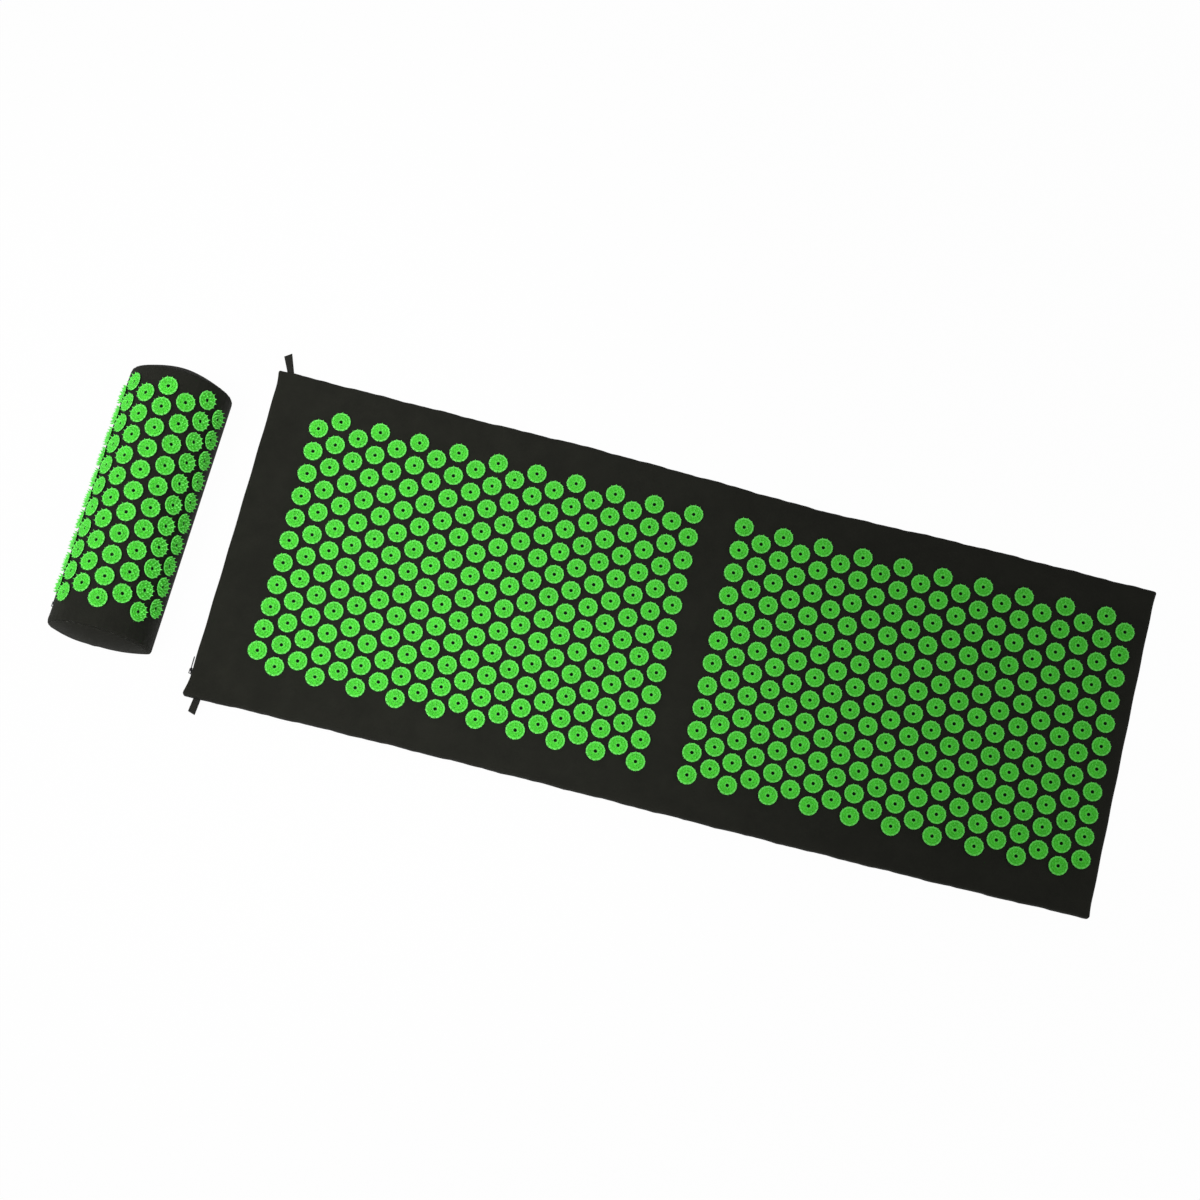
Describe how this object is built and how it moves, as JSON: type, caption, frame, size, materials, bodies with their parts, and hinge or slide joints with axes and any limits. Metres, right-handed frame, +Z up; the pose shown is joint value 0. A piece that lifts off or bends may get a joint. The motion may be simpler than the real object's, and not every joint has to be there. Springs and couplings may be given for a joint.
{
  "type": "acupressure mat with pillow",
  "caption": "Long padded cloth mat that folds in half and a half-round pillow, both covered with fields of moulded spiked discs.",
  "frame": {"origin": "middle of the mat's underside, on the floor", "axes": "+X along the mat from its head end, where the pillow stands, to its foot end; +Y across the mat; +Z up"},
  "size_m": [1.5038, 0.5447, 0.0991],
  "materials": {
    "cover_cloth": "matte",
    "ribbon": "satin",
    "disc_plastic": "satin",
    "foam": "matte",
    "zip_tape": "matte",
    "zip_coil": "satin",
    "zip_metal": "satin"
  },
  "bodies": {
    "head_half": {"head_cover_top": "cover_cloth", "head_cover_bottom": "cover_cloth", "head_foam": "foam", "head_discs_01": "disc_plastic", "head_discs_02": "disc_plastic", "head_discs_03": "disc_plastic", "head_discs_04": "disc_plastic", "head_discs_05": "disc_plastic", "head_discs_06": "disc_plastic", "head_discs_07": "disc_plastic", "head_discs_08": "disc_plastic", "head_discs_09": "disc_plastic", "head_discs_10": "disc_plastic", "mat_zip_upper_tape": "zip_tape", "mat_zip_lower_tape": "zip_tape", "mat_zip_upper_coil": "zip_coil", "mat_zip_lower_coil": "zip_coil", "mat_zip_near_stop": "zip_metal", "mat_zip_far_stop": "zip_metal"},
    "foot_half": {"foot_cover_top": "cover_cloth", "foot_cover_bottom": "cover_cloth", "foot_foam": "foam", "foot_discs_01": "disc_plastic", "foot_discs_02": "disc_plastic", "foot_discs_03": "disc_plastic", "foot_discs_04": "disc_plastic", "foot_discs_05": "disc_plastic", "foot_discs_06": "disc_plastic", "foot_discs_07": "disc_plastic", "foot_discs_08": "disc_plastic", "foot_discs_09": "disc_plastic", "foot_discs_10": "disc_plastic"},
    "near_ribbon": {"near_loop": "ribbon"},
    "far_ribbon": {"far_loop": "ribbon"},
    "mat_slider": {"mat_zip_slider": "zip_metal"},
    "mat_pull": {"mat_zip_pull": "zip_metal"},
    "pillow": {"pillow_top_panel": "cover_cloth", "pillow_base_panel": "cover_cloth", "pillow_near_end": "cover_cloth", "pillow_far_end": "cover_cloth", "pillow_core": "foam", "pillow_discs_1": "disc_plastic", "pillow_discs_2": "disc_plastic", "pillow_discs_3": "disc_plastic", "pillow_discs_4": "disc_plastic", "pillow_discs_5": "disc_plastic", "pillow_discs_6": "disc_plastic", "pillow_discs_7": "disc_plastic", "pillow_zip_upper_tape": "zip_tape", "pillow_zip_lower_tape": "zip_tape", "pillow_zip_upper_coil": "zip_coil", "pillow_zip_lower_coil": "zip_coil", "pillow_zip_near_stop": "zip_metal", "pillow_zip_far_stop": "zip_metal"},
    "pillow_slider": {"pillow_zip_slider": "zip_metal"},
    "pillow_pull": {"pillow_zip_pull": "zip_metal"}
  },
  "joints": [
    {"name": "mid_fold", "type": "hinge", "parent": "head_half", "child": "foot_half", "pos_m": [0.02, 0, 0.0259], "axis": [0, -1, 0], "range_deg": [0, 180]},
    {"name": "near_loop_swing", "type": "hinge", "parent": "head_half", "child": "near_ribbon", "pos_m": [-0.62608, -0.245, 0.009], "axis": [-1, 0, 0], "range_deg": [-15, 90]},
    {"name": "far_loop_swing", "type": "hinge", "parent": "head_half", "child": "far_ribbon", "pos_m": [-0.62938, 0.245, 0.009], "axis": [1, 0, 0], "range_deg": [-15, 90]},
    {"name": "mat_zip_run", "type": "slide", "parent": "head_half", "child": "mat_slider", "axis": [0, 1, 0], "range_m": [0, 0.425]},
    {"name": "mat_pull_swing", "type": "hinge", "parent": "mat_slider", "child": "mat_pull", "pos_m": [-0.64658, -0.2125, 0.009], "axis": [0, 0, 1], "range_deg": [0, 180]},
    {"name": "pillow_lift", "type": "slide", "parent": "head_half", "child": "pillow", "axis": [0, 0, 1], "range_m": [0, 0.25]},
    {"name": "pillow_zip_run", "type": "slide", "parent": "pillow", "child": "pillow_slider", "axis": [0.0227, 0.9997, 0], "range_m": [0, 0.324]},
    {"name": "pillow_pull_swing", "type": "hinge", "parent": "pillow_slider", "child": "pillow_pull", "pos_m": [-0.85654, -0.16982, 0.0135], "axis": [0, 0, 1], "range_deg": [0, 180]}
  ]
}
